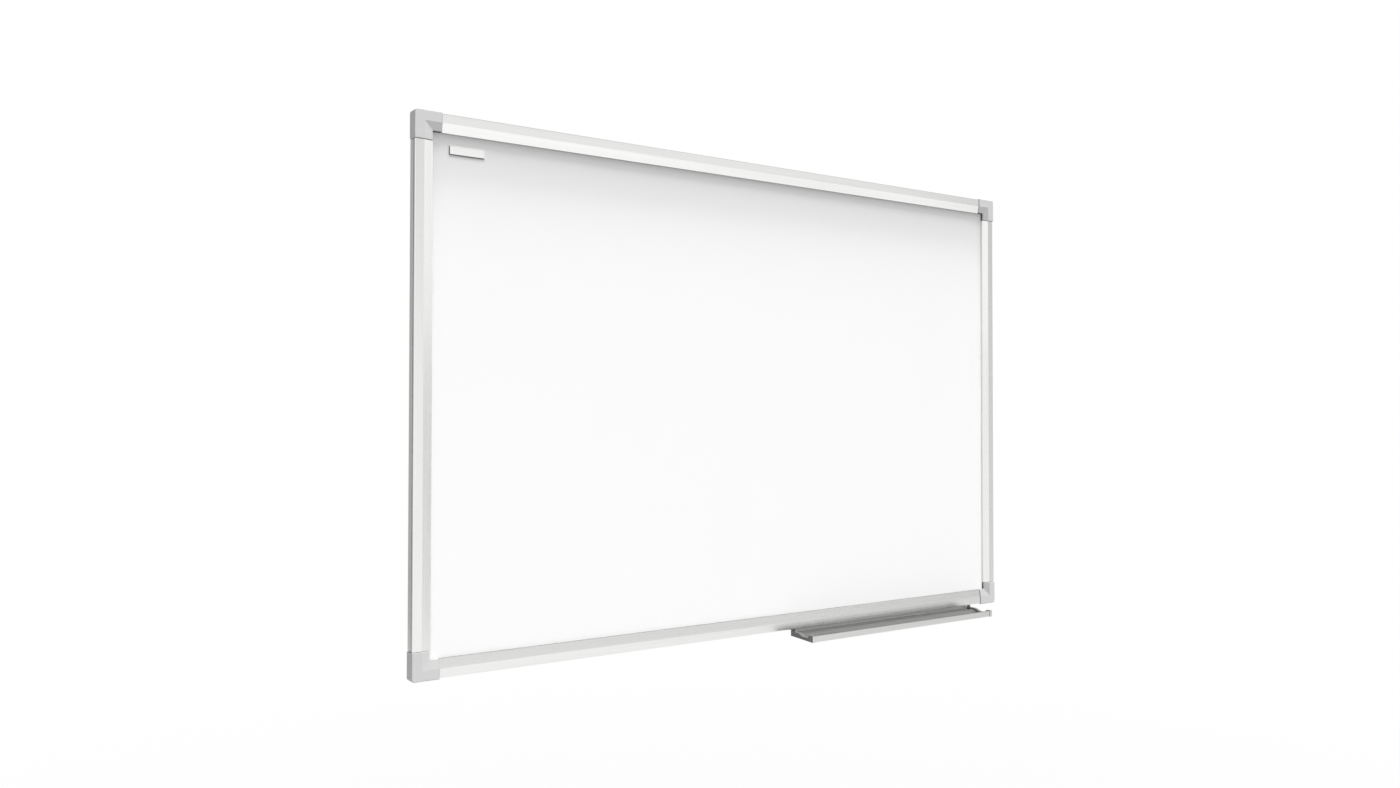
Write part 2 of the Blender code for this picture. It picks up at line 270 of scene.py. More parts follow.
def spread(tree, value, low, high, newLow, newHigh):
    limits = {"From Min": low, "From Max": high, "To Min": newLow, "To Max": newHigh}
    node = addNode(tree, "ShaderNodeMapRange", **limits)
    tree.links.new(value, node.inputs["Value"])
    return node.outputs["Result"]


noiseRange = (0.3, 0.7)  # where most of a noise's values lie
paintedShadeRange = (0.3, 0.8)  # how squarely an inner wall looks along local Z, for its painted shade
traceFade = 0.3  # how far above the threshold a trace is full


# Streaks that the die leaves along an extrusion: fine lines a fraction of a
# millimetre apart and a broader, softer banding, both stretched along local X.
def makeDieLines():
    inputs = {"Fine per metre": 2600, "Bands per metre": 320, "Along per metre": 5}
    group, entry, out = newGroup("dieLines", inputs, ["Height", "Bands"])
    place = addNode(group, "ShaderNodeTexCoord")
    for output, perMetre, detail in (("Height", "Fine per metre", 2), ("Bands", "Bands per metre", 1)):
        scale = addNode(group, "ShaderNodeCombineXYZ")
        group.links.new(entry.outputs["Along per metre"], scale.inputs["X"])
        group.links.new(entry.outputs[perMetre], scale.inputs["Y"])
        group.links.new(entry.outputs[perMetre], scale.inputs["Z"])
        stretched = addNode(group, "ShaderNodeVectorMath", {"operation": "MULTIPLY"})
        group.links.new(place.outputs["Object"], stretched.inputs[0])
        group.links.new(scale.outputs["Vector"], stretched.inputs[1])
        noise = addNode(group, "ShaderNodeTexNoise", Scale=1, Detail=detail, Roughness=0.6)
        group.links.new(stretched.outputs["Vector"], noise.inputs["Vector"])
        group.links.new(noise.outputs["Fac"], out.inputs[output])
    return group


# Fine spark-eroded grain of moulded plastic, with a slow drift of tone.
def makeMouldGrain():
    inputs = {"Grains per metre": 2200, "Drift per metre": 60}
    group, entry, out = newGroup("mouldGrain", inputs, ["Height", "Drift"])
    place = addNode(group, "ShaderNodeTexCoord")
    for output, perMetre, detail in (("Height", "Grains per metre", 3), ("Drift", "Drift per metre", 2)):
        noise = addNode(group, "ShaderNodeTexNoise", Detail=detail, Roughness=0.55)
        group.links.new(place.outputs["Object"], noise.inputs["Vector"])
        group.links.new(entry.outputs[perMetre], noise.inputs["Scale"])
        group.links.new(noise.outputs["Fac"], out.inputs[output])
    return group


# Faint traces of handling and wiping, as a mask from 0 to 1.
def makeHandling():
    inputs = {"Patches per metre": 14, "Threshold": 0.5}
    group, entry, out = newGroup("handling", inputs, ["Mask"])
    place = addNode(group, "ShaderNodeTexCoord")
    noise = addNode(group, "ShaderNodeTexNoise", Detail=4, Roughness=0.62, Distortion=0.6)
    group.links.new(place.outputs["Object"], noise.inputs["Vector"])
    group.links.new(entry.outputs["Patches per metre"], noise.inputs["Scale"])
    above = mathNode(group, "SUBTRACT", noise.outputs["Fac"], entry.outputs["Threshold"])
    mask = spread(group, above, 0, traceFade, 0, 1)
    group.links.new(mask, out.inputs["Mask"])
    return group


dieLines = makeDieLines()
mouldGrain = makeMouldGrain()
handling = makeHandling()


def newMaterial(name, colour, roughness, metallic=0):
    material = bpy.data.materials.new(name)
    material.use_nodes = True
    material.diffuse_color = (*colour, 1)
    shader = material.node_tree.nodes["Principled BSDF"]
    shader.inputs["Base Color"].default_value = (*colour, 1)
    shader.inputs["Roughness"].default_value = roughness
    shader.inputs["Metallic"].default_value = metallic
    return material, material.node_tree, shader


def useGroup(tree, group, **values):
    return addNode(tree, "ShaderNodeGroup", {"node_tree": group}, **values)


# Traces of handling, from a finish's touch: patches per metre and threshold.
def touchMask(tree, touch):
    values = {"Patches per metre": touch[0], "Threshold": touch[1]}
    return useGroup(tree, handling, **values).outputs["Mask"]


def useGrain(tree, perMetre):
    return useGroup(tree, mouldGrain, **{"Grains per metre": perMetre})


def tint(tree, shader, mask, light, dark):
    mix = addNode(tree, "ShaderNodeMix", {"data_type": "RGBA"})
    mix.inputs["A"].default_value = (*dark, 1)
    mix.inputs["B"].default_value = (*light, 1)
    tree.links.new(mask, mix.inputs["Factor"])
    tree.links.new(mix.outputs["Result"], shader.inputs["Base Color"])


def bump(tree, shader, height, depth):
    node = addNode(tree, "ShaderNodeBump", Strength=1, Distance=depth * mm)
    tree.links.new(height, node.inputs["Height"])
    tree.links.new(node.outputs["Normal"], shader.inputs["Normal"])


def shaded(colour, share):
    return tuple(channel * share for channel in colour)


# Painted shade: darkens the colour of what faces along local Z, the tray's trough and the rails' inner
# walls, where shade falls.
def paintShadeInside(tree, shader, share):
    place = addNode(tree, "ShaderNodeTexCoord")
    facing = addNode(tree, "ShaderNodeSeparateXYZ")
    tree.links.new(place.outputs["Normal"], facing.inputs["Vector"])
    mix = addNode(tree, "ShaderNodeMix", {"data_type": "RGBA", "blend_type": "MULTIPLY"})
    mix.inputs["B"].default_value = (share, share, share, 1)
    tree.links.new(spread(tree, facing.outputs["Z"], *paintedShadeRange, 0, 1), mix.inputs["Factor"])
    tree.links.new(shader.inputs["Base Color"].links[0].from_socket, mix.inputs["A"])
    tree.links.new(mix.outputs["Result"], shader.inputs["Base Color"])


def makeAluminium(name, finish):
    material, tree, shader = newMaterial(name, finish["colour"], finish["roughness"], metallic=1)
    lines = useGroup(tree, dieLines)
    bands = spread(tree, lines.outputs["Bands"], *noiseRange, 0, 1)
    tint(tree, shader, bands, finish["colour"], shaded(finish["colour"], finish["bandShare"]))
    # painted shade on the inner walls and the trough
    paintShadeInside(tree, shader, finish["paintedShadeShare"])
    lineSpread = finish["lineSpread"]
    grooves = spread(tree, lines.outputs["Height"], *noiseRange, -lineSpread, lineSpread)
    dulled = mathNode(tree, "MULTIPLY", touchMask(tree, finish["touch"]), finish["touchSpread"])
    varied = mathNode(tree, "ADD", mathNode(tree, "ADD", grooves, dulled), finish["roughness"])
    tree.links.new(varied, shader.inputs["Roughness"])
    bump(tree, shader, lines.outputs["Height"], finish["lineDepth"])
    return material


def makePlastic(name, finish):
    material, tree, shader = newMaterial(name, finish["colour"], finish["roughness"])
    grain = useGrain(tree, finish["grainsPerMetre"])
    drift = spread(tree, grain.outputs["Drift"], *noiseRange, 0, 1)
    tint(tree, shader, drift, finish["colour"], shaded(finish["colour"], finish["driftShare"]))
    polish = mathNode(tree, "MULTIPLY", touchMask(tree, finish["touch"]), -finish["polish"])
    tree.links.new(mathNode(tree, "ADD", polish, finish["roughness"]), shader.inputs["Roughness"])
    bump(tree, shader, grain.outputs["Height"], finish["grainDepth"])
    return material


# Frame rails

railShape = {
    "wall": 1.2,
    "flatWidth": 10.2,
    "bevelDrop": 2.2,
    "noseHeight": 2.6,
    "edgeRadius": 0.9,
    "creaseRadius": 0.5,
    "noseRadius": 0.35,
    "fineRadius": 0.15,
    "backFlange": 18.0,
    "webRise": 10.8,
    "chamberNear": 4.6,
    "chamberFar": 9.6,
    "grooveSetback": 4.4,
    "grooveMouth": 2.0,
    "grooveRecess": 4.8,
    "grooveDepth": 2.2,
    "endEdge": 0.12,
}
railFinish = {
    "colour": (0.92, 0.92, 0.905),
    "roughness": 0.26,
    "bandShare": 0.965,
    "lineSpread": 0.05,
    "touch": (22, 0.52),
    "touchSpread": 0.05,
    "lineDepth": 0.004,
    # Shares of the colour left on the inner walls: painted shade, deeper on the rails across than on the
    # uprights.
    "paintedShadeShare": 0.5,
    "uprightPaintedShadeShare": 0.85,
}

bevelSlope = railShape["bevelDrop"] / (board["railWidth"] - railShape["flatWidth"])
bevelStretch = math.hypot(1, bevelSlope)


# The rail's front runs level over its flat and then falls along its bevel. An offset
# is a distance out along the surface's normal.
def bevelForward(rise, offset=0):
    return board["depth"] + offset * bevelStretch - bevelSlope * (rise - railShape["flatWidth"])


def bevelRise(forward, offset=0):
    return railShape["flatWidth"] + (board["depth"] + offset * bevelStretch - forward) / bevelSlope


def railLoops():
    shape = railShape
    wall = shape["wall"]
    fine = shape["fineRadius"]
    width = board["railWidth"]
    depth = board["depth"]
    lip = depth - shape["bevelDrop"] - shape["noseHeight"]
    web = shape["webRise"]
    groove = depth - shape["grooveSetback"]
    mouth = shape["grooveMouth"] / 2
    recess = shape["grooveRecess"] / 2
    floor = wall + shape["grooveDepth"]
    near = shape["chamberNear"]
    far = shape["chamberFar"]
    outline = [
        (0, 0, fine),
        (shape["backFlange"], 0, fine),
        (shape["backFlange"], wall, fine),
        (web, wall, fine),
        (web, bevelForward(web, -wall), fine),
        (width - wall, bevelForward(width - wall, -wall), fine),
        (width - wall, lip, fine),
        (width, lip, fine),
        (width, lip + shape["noseHeight"], shape["noseRadius"]),
        (shape["flatWidth"], depth, shape["creaseRadius"]),
        (0, depth, shape["edgeRadius"]),
        (0, groove + mouth, fine),
        (wall, groove + mouth, fine),
        (wall, groove + recess, fine),
        (floor, groove + recess, fine),
        (floor, groove - recess, fine),
        (wall, groove - recess, fine),
        (wall, groove - mouth, fine),
        (0, groove - mouth, fine),
    ]
    chamber = [
        (wall, wall, fine),
        (wall, groove - recess - wall, fine),
        (near, groove - recess - wall, fine),
        (near, depth - wall, fine),
        (far, depth - wall, fine),
        (far, wall, fine),
    ]
    return [roundedLoop(outline), roundedLoop(chamber)]


def buildRails():
    # The rails across and the uprights take copies of one material, with painted shade of different
    # depth.
    uprightLighterShadeFinish = {**railFinish, "paintedShadeShare": railFinish["uprightPaintedShadeShare"]}
    across = makeAluminium("acrossAnodisedDeepShade", railFinish)
    upright = makeAluminium("uprightAnodisedLightShade", uprightLighterShadeFinish)
    loops = railLoops()
    sides = [
        ("bottom", across, board["halfHeight"]),
        ("left", upright, board["halfLength"]),
        ("top", across, board["halfHeight"]),
        ("right", upright, board["halfLength"]),
    ]
    for turns, (side, material, reach) in enumerate(sides):
        node = "rail_" + side
        low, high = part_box(node)
        half = max(high.x - low.x, high.z - low.z) / mm / 2
        stations = roundedStations(-half, half, railShape["endEdge"], railShape["endEdge"], steps=1)
        mesh = sweptMesh(node + "_extrusion", loops, stations)
        turn = turns * quarterTurn
        place = Matrix.Rotation(turn, 3, "Y") @ Vector((0, 0, -reach))
        placePiece(
            node + "_extrusion", mesh, [material], "board", node, place, (0, turn, 0)
        )
    print("rails built")


buildRails()


# Corner caps

capShape = {
    "arm": 29.8,  # a little short of the solid's, so that the joint to the rail shows
    "proud": 0.9,
    "wall": 1.6,
    "wallClearance": 0.3,
    "baseClearance": 0.3,
    "lipGap": 1.3,
    "lipSetback": 1.1,  # nil on the arms along the bottom rail
    "cornerRadius": 3.0,
    "edgeRadius": 0.8,
    "creaseRadius": 0.5,
    "lipRadius": 0.3,
    "insideRadius": 0.4,
    "mitreRadius": 0.35,
    "lipCornerRadius": 1.4,
    "endEdge": 0.3,
    "cornerSteps": 8,
    "postSize": 3.0,
    "postPlace": 21.5,
    "postDepth": 7.5,
    "postEdge": 0.4,
    "postRoot": 0.8,
}
# A flange of the corner base lies over the panel's corner, in near-black plastic: a dark sheet put where
# there is only shade, so its rim paints a shadow line along the cap's inner edge. Along the bottom rail
# it hides behind the cap, where it is low enough to pass under the cap's lip.
flangeShape = {
    "start": 10.6,
    "seat": 0.1,
    "thickness": 1.0,
    "rim": 0.7,
    "rimSetback": 0.3,
    "hiddenSetback": 2.0,
    "rimDrop": 1.0,
    "hiddenDrop": 1.7,
    "endSetback": 0.2,
    "edge": 0.1,
}
capFinish = {
    "colour": (0.64, 0.64, 0.64),
    "roughness": 0.42,
    "grainsPerMetre": 2600,
    "grainDepth": 0.012,
    "driftShare": 0.97,
    "touch": (40, 0.5),
    "polish": 0.08,
    "bevelShadeShare": 0.9,  # of the colour: painted shade on the bevel, which also has a deeper grain
    "bevelGrainDepth": 0.016,
    "shadedBevelRange": (0.95, 0.995),  # how squarely the bevel looks ahead
}
# Near black, for the corner bases and for the flanges' painted shadow line.
baseAndShadowLineFinish = {
    "colour": (0.07, 0.07, 0.072),
    "roughness": 0.5,
    "grainsPerMetre": 2200,
    "grainDepth": 0.015,
    "driftShare": 0.9,
    "touch": (40, 0.5),
    "polish": 0.06,
}


def capLoop(setback):
    shape = capShape
    outer = -shape["proud"]
    inner = outer + shape["wall"]
    front = board["depth"] + shape["proud"]
    hollow = front - shape["wall"]
    lip = board["surfaceFront"] + shape["lipGap"]
    span = board["railWidth"] - setback
    behind = span - shape["wall"]
    skin = shape["proud"] - shape["wall"]
    inside = shape["insideRadius"]
    corners = [
        (outer, shape["wallClearance"], inside),
        (inner, shape["wallClearance"], inside),
        (inner, hollow, inside),
        (bevelRise(hollow, skin), hollow, inside),
        (behind, bevelForward(behind, skin), inside),
        (behind, lip, railShape["fineRadius"]),
        (span, lip, railShape["fineRadius"]),
        (span, bevelForward(span, shape["proud"]), shape["lipRadius"]),
        (bevelRise(front, shape["proud"]), front, shape["creaseRadius"]),
        (outer, front, shape["edgeRadius"]),
    ]
    return roundedLoop(corners)


# Radius in plan of the bend at the corner: it shrinks from the outer face to the
# flat, and opens out again along the bevel to the lip.
def bendRadius(rise):
    shape = capShape
    along = max(0, (rise - railShape["flatWidth"]) / (board["railWidth"] - railShape["flatWidth"]))
    opened = shape["mitreRadius"] + along * (shape["lipCornerRadius"] - shape["mitreRadius"])
    return max(shape["cornerRadius"] - rise - shape["proud"], opened)


# Sweeps an outline along the arm on local X and round the corner, where it turns into
# the outline of the arm on local Z.
def elbowMesh(name, acrossLoop, uprightLoop, arm, endEdge):
    shoulder = arm - endEdge
    steps = capShape["cornerSteps"]
    work = bmesh.new()
    rows = []
    edges = zip(insetLoop(acrossLoop, endEdge), insetLoop(uprightLoop, endEdge))
    for across, upright, (acrossEdge, uprightEdge) in zip(acrossLoop, uprightLoop, edges):
        radius = bendRadius((across.x + upright.x) / 2)
        row = [(arm, -acrossEdge.y, acrossEdge.x), (shoulder, -across.y, across.x)]
        for step in range(steps + 1):
            angle = -quarterTurn * (1 + step / steps)
            forward = across.lerp(upright, step / steps).y
            sideways = upright.x + radius + radius * math.cos(angle)
            up = across.x + radius + radius * math.sin(angle)
            row.append((sideways, -forward, up))
        row += [(upright.x, -upright.y, shoulder), (uprightEdge.x, -uprightEdge.y, arm)]
        rows.append([work.verts.new(place) for place in row])
    for index, row in enumerate(rows):
        before = rows[index - 1]
        for step in range(1, len(row)):
            work.faces.new((before[step - 1], before[step], row[step], row[step - 1]))
    closeHoles(work, [
        [work.edges.get((rows[index - 1][end], row[end])) for index, row in enumerate(rows)]
        for end in (0, -1)
    ])
    return finishedMesh(name, work)


def flangeLoop(setback, drop):
    shape = flangeShape
    low = board["surfaceFront"] + shape["seat"]
    top = bevelForward(board["railWidth"]) - drop
    span = board["railWidth"] - setback
    edge = shape["edge"]
    corners = [
        (shape["start"], low, edge),
        (span, low, edge),
        (span, top, edge),
        (span - shape["rim"], top, edge),
        (span - shape["rim"], low + shape["thickness"], edge),
        (shape["start"], low + shape["thickness"], edge),
    ]
    return roundedLoop(corners)


def capPosts():
    shape = capShape
    hollow = board["depth"] + shape["proud"] - shape["wall"]
    front = -hollow - shape["postRoot"]
    back = -hollow + shape["postDepth"]
    inside = shape["wall"] - shape["proud"] + shape["baseClearance"]
    middle = (inside + railShape["webRise"]) / 2
    half = shape["postSize"] / 2
    near, far = shape["postPlace"] - half, shape["postPlace"] + half
    low, high = middle - half, middle + half
    return [
        blockMesh("post_across", (near, front, low), (far, back, high), shape["postEdge"]),
        blockMesh("post_upright", (low, front, near), (high, back, far), shape["postEdge"]),
    ]


# The bevel's faces take the second material, a darker copy that paints shade on them.
def markShadedBevel(mesh):
    low, high = capFinish["shadedBevelRange"]
    for polygon in mesh.polygons:
        polygon.material_index = 1 if low < -polygon.normal.y < high else 0


def buildCornerCaps():
    plastic = makePlastic("capPlastic", capFinish)
    # A darker copy of the cap plastic for the bevel: painted shade.
    shadedBevelFinish = {
        **capFinish,
        "colour": shaded(capFinish["colour"], capFinish["bevelShadeShare"]),
        "grainDepth": capFinish["bevelGrainDepth"],
    }
    shadedBevelPlastic = makePlastic("capBevelPaintedShade", shadedBevelFinish)
    baseAndShadowLinePlastic = makePlastic("baseAndShadowLinePlastic", baseAndShadowLineFinish)
    arm = capShape["arm"]
    flangeEnd = arm - flangeShape["endSetback"]
    setback = capShape["lipSetback"]
    rimSetback = flangeShape["rimSetback"]
    hidden = flangeShape["hiddenSetback"]
    posts = capPosts()
    length = board["halfLength"]
    height = board["halfHeight"]
    # place, then the setbacks of the cap's lip and of the rim, on local X and on local Z
    corners = [
        (-length, -height, (0, setback), (hidden, rimSetback)),
        (-length, height, (setback, setback), (rimSetback, rimSetback)),
        (length, height, (setback, setback), (rimSetback, rimSetback)),
        (length, -height, (setback, 0), (rimSetback, hidden)),
    ]
    for turns, (corner, (sideways, up, lips, rims)) in enumerate(zip(cornerNames, corners)):
        place = (sideways, 0, up)
        turn = (0, turns * quarterTurn, 0)
        loops = [capLoop(lip) for lip in lips]
        shell = elbowMesh("corner_cap_shell", *loops, arm, capShape["endEdge"])
        mesh = unitedMesh("cap_shell_" + corner, shell, posts)
        markShadedBevel(mesh)
        placePiece(
            "cap_shell_" + corner, mesh, [plastic, shadedBevelPlastic], "cap_" + corner,
            "corner_cap_" + corner, place, turn
        )
        drop = flangeShape["hiddenDrop" if hidden in rims else "rimDrop"]
        loops = [flangeLoop(rim, drop) for rim in rims]
        mesh = elbowMesh("shadow_line_flange_" + corner, *loops, flangeEnd, flangeShape["edge"])
        placePiece(
            "shadow_line_flange_" + corner, mesh, [baseAndShadowLinePlastic], "board", None, place, turn
        )
        dressNode("corner_base_" + corner, baseAndShadowLinePlastic)
    print("corner caps and bases built")


buildCornerCaps()


# Pen tray and its end caps

trayShape = {
    "wall": 1.4,
    "depth": 42.6,
    "footThickness": 1.6,
    "footHalf": 2.1,
    "footLow": 1.5,
    "shelfDrop": 4.6,
    "shelfDepth": 13.0,
    "slopeDepth": 8.0,
    "troughDrop": 7.8,
    "lipDrop": 3.2,
    "lipHeight": 8.1,
    "beadWidth": 2.6,
    "beadHeight": 1.4,
    "rearLegDrop": 9.0,
    "slopeRadius": 2.5,
    "bendRadius": 0.6,
    "edgeRadius": 0.25,
    "endEdge": 0.12,
}
trayFinish = {
    "colour": (0.81, 0.81, 0.80),
    "roughness": 0.30,
    "bandShare": 0.93,
    "lineSpread": 0.07,
    "touch": (22, 0.52),
    "touchSpread": 0.06,
    "lineDepth": 0.005,
    # share of the colour left in the trough: painted shade
    "paintedShadeShare": 0.54,
}
endCapShape = {
    "thickness": 5.0,
    "border": 1.0,
    "rise": 1.3,
    "edge": 0.3,
    "cornerRadius": 1.0,
    "slopeRadius": 2.5,
    "outerRadius": 0.45,
    "innerRadius": 0.15,
    "plugLength": 10.0,
    "plugGap": 0.3,
}
endCapAndShadeFinish = {
    # dark plastic, darkened to paint the shade on the cap's sides
    "colour": (0.19, 0.19, 0.19),
    "roughness": 0.45,
    "grainsPerMetre": 2400,
    "grainDepth": 0.012,
    "driftShare": 0.95,
    "touch": (40, 0.5),
    "polish": 0.08,
    "paintedLightFacing": 0.9,  # how squarely a face must look ahead to take the tray's metal, a painted highlight; other faces keep the dark plastic as painted shade
}

trayBack = board["depth"] - railShape["grooveSetback"] - trayShape["wall"] / 2
trayFront = trayBack + trayShape["depth"]


# Sideways step of the lower skin where the shelf turns down into the slope.
def slopeShift():
    fall = math.atan2(trayShape["troughDrop"] - trayShape["shelfDrop"], trayShape["slopeDepth"])
    return trayShape["wall"] * math.tan(fall / 2)


def trayLoop():
    shape = trayShape
    wall = shape["wall"]
    web = trayBack + wall
    middle = trayBack + wall / 2
    footHigh = shape["footLow"] + shape["footThickness"]
    slopeBack = trayBack + shape["shelfDepth"]
    slopeFront = slopeBack + shape["slopeDepth"]
    lipBack = trayFront - wall
    lipTop = -shape["lipDrop"]
    bead = lipTop - shape["beadHeight"]
    lipLow = lipTop - shape["lipHeight"]
    edge = shape["edgeRadius"]
    bend = shape["bendRadius"]
    slope = shape["slopeRadius"]
    outline = [
        (footHigh, middle - shape["footHalf"], edge),
        (footHigh, middle + shape["footHalf"], edge),
        (shape["footLow"], middle + shape["footHalf"], edge),
        (shape["footLow"], web, edge),
        (-shape["shelfDrop"], web, bend),
        (-shape["shelfDrop"], slopeBack, slope),
        (-shape["troughDrop"], slopeFront, slope),
        (-shape["troughDrop"], lipBack, bend),
        (bead, lipBack, edge),
        (bead, trayFront - shape["beadWidth"], bend),
        (lipTop, trayFront - shape["beadWidth"], bend),
        (lipTop, trayFront, bend),
        (lipLow, trayFront, edge),
        (lipLow, lipBack, edge),
        (-shape["troughDrop"] - wall, lipBack, edge),
        (-shape["troughDrop"] - wall, slopeFront - slopeShift(), slope),
        (-shape["shelfDrop"] - wall, slopeBack - slopeShift(), slope),
        (-shape["shelfDrop"] - wall, web, edge),
        (-shape["rearLegDrop"], web, edge),
        (-shape["rearLegDrop"], trayBack, edge),
        (shape["footLow"], trayBack, edge),
        (shape["footLow"], middle - shape["footHalf"], edge),
    ]
    return roundedLoop(outline)


def endCapLoop():
    tray = trayShape
    cap = endCapShape
    border = cap["border"]
    web = trayBack + tray["wall"]
    slopeBack = trayBack + tray["shelfDepth"] + border
    slopeFront = slopeBack + tray["slopeDepth"]
    front = trayFront + cap["edge"]
    shelf = cap["rise"] - tray["shelfDrop"]
    trough = cap["rise"] - tray["troughDrop"]
    lip = cap["edge"] - tray["lipDrop"]
    ramp = lip - trough
    rampBack = trayFront - tray["beadWidth"] - 2 * ramp
    low = -tray["lipDrop"] - tray["lipHeight"] - cap["edge"]
    top = -cap["plugGap"]
    edge = tray["edgeRadius"]
    corner = cap["cornerRadius"]
    slope = cap["slopeRadius"]
    outline = [
        (-tray["rearLegDrop"] - cap["edge"], trayBack - border, edge),
        (top, trayBack - border, edge),
        (top, web, corner),
        (shelf, web + border, corner),
        (shelf, slopeBack, slope),
        (trough, slopeFront, slope),
        (trough, rampBack, corner),
        (lip, rampBack + ramp, corner),
        (lip, front, corner),
        (low, front, edge),
    ]
    return roundedLoop(outline)


def endCapMesh(way):
    tray = trayShape
    cap = endCapShape
    half = cap["thickness"] / 2
    stations = roundedStations(-half, half, cap["innerRadius"], cap["outerRadius"])
    stations = [(way * along, inset) for along, inset in stations]
    shell = sweptMesh("end_cap_shell", [endCapLoop()], stations)
    gap = cap["plugGap"]
    web = trayBack + tray["wall"]
    low = -tray["rearLegDrop"]
    high = -tray["shelfDrop"] - tray["wall"] - gap
    front = trayBack + tray["shelfDepth"] - slopeShift() - gap
    inner, outer = sorted((-way * cap["plugLength"], 0))
    plug = blockMesh("end_cap_plug", (inner, -front, low), (outer, -web - gap, high), tray["edgeRadius"])
    mesh = unitedMesh("tray_end_cap", shell, [plug])
    # Painted light: faces at the front take the tray's bright metal, the sides keep the dark plastic as
    # painted shade.
    for polygon in mesh.polygons:
        ahead = -polygon.center.y > trayFront * mm and -polygon.normal.y > endCapAndShadeFinish["paintedLightFacing"]
        polygon.material_index = 1 if ahead else 0
    return mesh


def buildTray():
    aluminium = makeAluminium("trayAnodised", trayFinish)
    plastic = makePlastic("endCapPlasticAndShade", endCapAndShadeFinish)
    low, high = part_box("tray")
    half = (high.x - low.x) / mm / 2
    middle = (high.x + low.x) / mm / 2
    stations = roundedStations(-half, half, trayShape["endEdge"], trayShape["endEdge"], steps=1)
    mesh = sweptMesh("tray_extrusion", [trayLoop()], stations)
    place = (middle, 0, -board["halfHeight"])
    placePiece("tray_extrusion", mesh, [aluminium], "tray_body", "tray", place)
    for side, way in (("left", -1), ("right", 1)):
        node = "tray_end_cap_" + side
        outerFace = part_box(node)[0 if way < 0 else 1].x / mm
        place = (outerFace - way * endCapShape["thickness"] / 2, 0, -board["halfHeight"])
        placePiece(
            "tray_end_" + side, endCapMesh(way), [plastic, aluminium], "tray_body",
            node, place
        )
    print("tray built")


buildTray()


# Blank label plate: a thin plate with a raised rim around a white face. The dark rim material paints a
# shadow along the left and bottom edges only.

labelShape = {
    "cornerRadius": 0.8,
    "edge": 0.1,
    "rimWidth": 1.0,
    "faceDrop": 0.06,
    "seat": 0.3,  # glue film under the plate
}
labelFinish = {
    "face": (0.88, 0.88, 0.87),
    # near black: the rim's colour, which also paints the shadow along the left and bottom
    "rim": (0.05, 0.05, 0.052),
    "roughness": 0.25,
    "rimGrainsPerMetre": 3000,
    "rimGrainDepth": 0.004,
    "rimDriftShare": 0.9,
    "faceGrainsPerMetre": 1500,
    "faceGrainDepth": 0.003,
    "touch": (60, 0.45),
    "touchShare": 0.97,
}


def labelMaterials():
    finish = labelFinish
    rim, tree, shader = newMaterial("labelRimAndShadow", finish["rim"], finish["roughness"])
    grain = useGrain(tree, finish["rimGrainsPerMetre"])
    dark = shaded(finish["rim"], finish["rimDriftShare"])
    tint(tree, shader, grain.outputs["Drift"], finish["rim"], dark)
    bump(tree, shader, grain.outputs["Height"], finish["rimGrainDepth"])
    face, tree, shader = newMaterial("labelFace", finish["face"], finish["roughness"])
    touched = shaded(finish["face"], finish["touchShare"])
    tint(tree, shader, touchMask(tree, finish["touch"]), touched, finish["face"])
    grain = useGrain(tree, finish["faceGrainsPerMetre"])
    bump(tree, shader, grain.outputs["Height"], finish["faceGrainDepth"])
    return [rim, face]


def buildLabel():
    shape = labelShape
    low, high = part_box("label_plate")
    length = (high.x - low.x) / mm
    height = (high.z - low.z) / mm
    thickness = (high.y - low.y) / mm
    halfLength, halfHeight = length / 2, height / 2
    corner = shape["cornerRadius"]
    outline = roundedLoop([
        (-halfHeight, -halfLength, corner),
        (halfHeight, -halfLength, corner),
        (halfHeight, halfLength, corner),
        (-halfHeight, halfLength, corner),
    ])
    edge = shape["edge"]
    step = shape["rimWidth"] + shape["faceDrop"]
    stations = [
        (0, edge),
        (edge, 0),
        (thickness - edge, 0),
        (thickness, edge),
        (thickness, shape["rimWidth"]),
        (thickness - shape["faceDrop"], step),
    ]
    mesh = sweptMesh("label_plate_blank", [outline], stations)
    rimWidth = shape["rimWidth"]
    # Painted shadow: the dark material covers the left and bottom bands and the plate's back half.
    for polygon in mesh.polygons:
        centre = polygon.center / mm
        dark = centre.z < rimWidth - halfHeight or centre.y < rimWidth - halfLength
        polygon.material_index = 0 if dark or centre.x < thickness / 2 else 1
    place = ((high.x + low.x) / 2 / mm, high.y / mm, (high.z + low.z) / 2 / mm)
    turn = (0, 0, -quarterTurn)
    placePiece(
        "label_plate_blank", mesh, labelMaterials(), "board", "label_plate", place, turn
    )
    print("label plate built")


buildLabel()


# Panel: the frame's own nodes, in their finished materials

lacquerFinish = {
    "colour": (0.91, 0.91, 0.91),
    "roughness": 0.28,
    "peelPerMetre": 160,
    "peelDepth": 0.003,
    "touch": (5, 0.5),
    "touchShare": 0.992,
    "touchSpread": 0.05,
}
zincFinish = {
    "colour": (0.56, 0.57, 0.58),
    "darkShare": 0.86,
    "roughness": 0.42,
    "roughnessRange": (0.34, 0.52),  # from crystal to crystal
    "spanglesPerMetre": 110,
    "spangleDepth": 0.02,
    "wandersPerMetre": 90,
    "wander": 3,  # millimetres
}
fibreFinish = {
    "colour": (0.42, 0.30, 0.19),
    "darkShare": 0.7,
    "roughness": 0.9,
    "grainsPerMetre": 700,
    "driftPerMetre": 180,
    "grainDepth": 0.08,
}


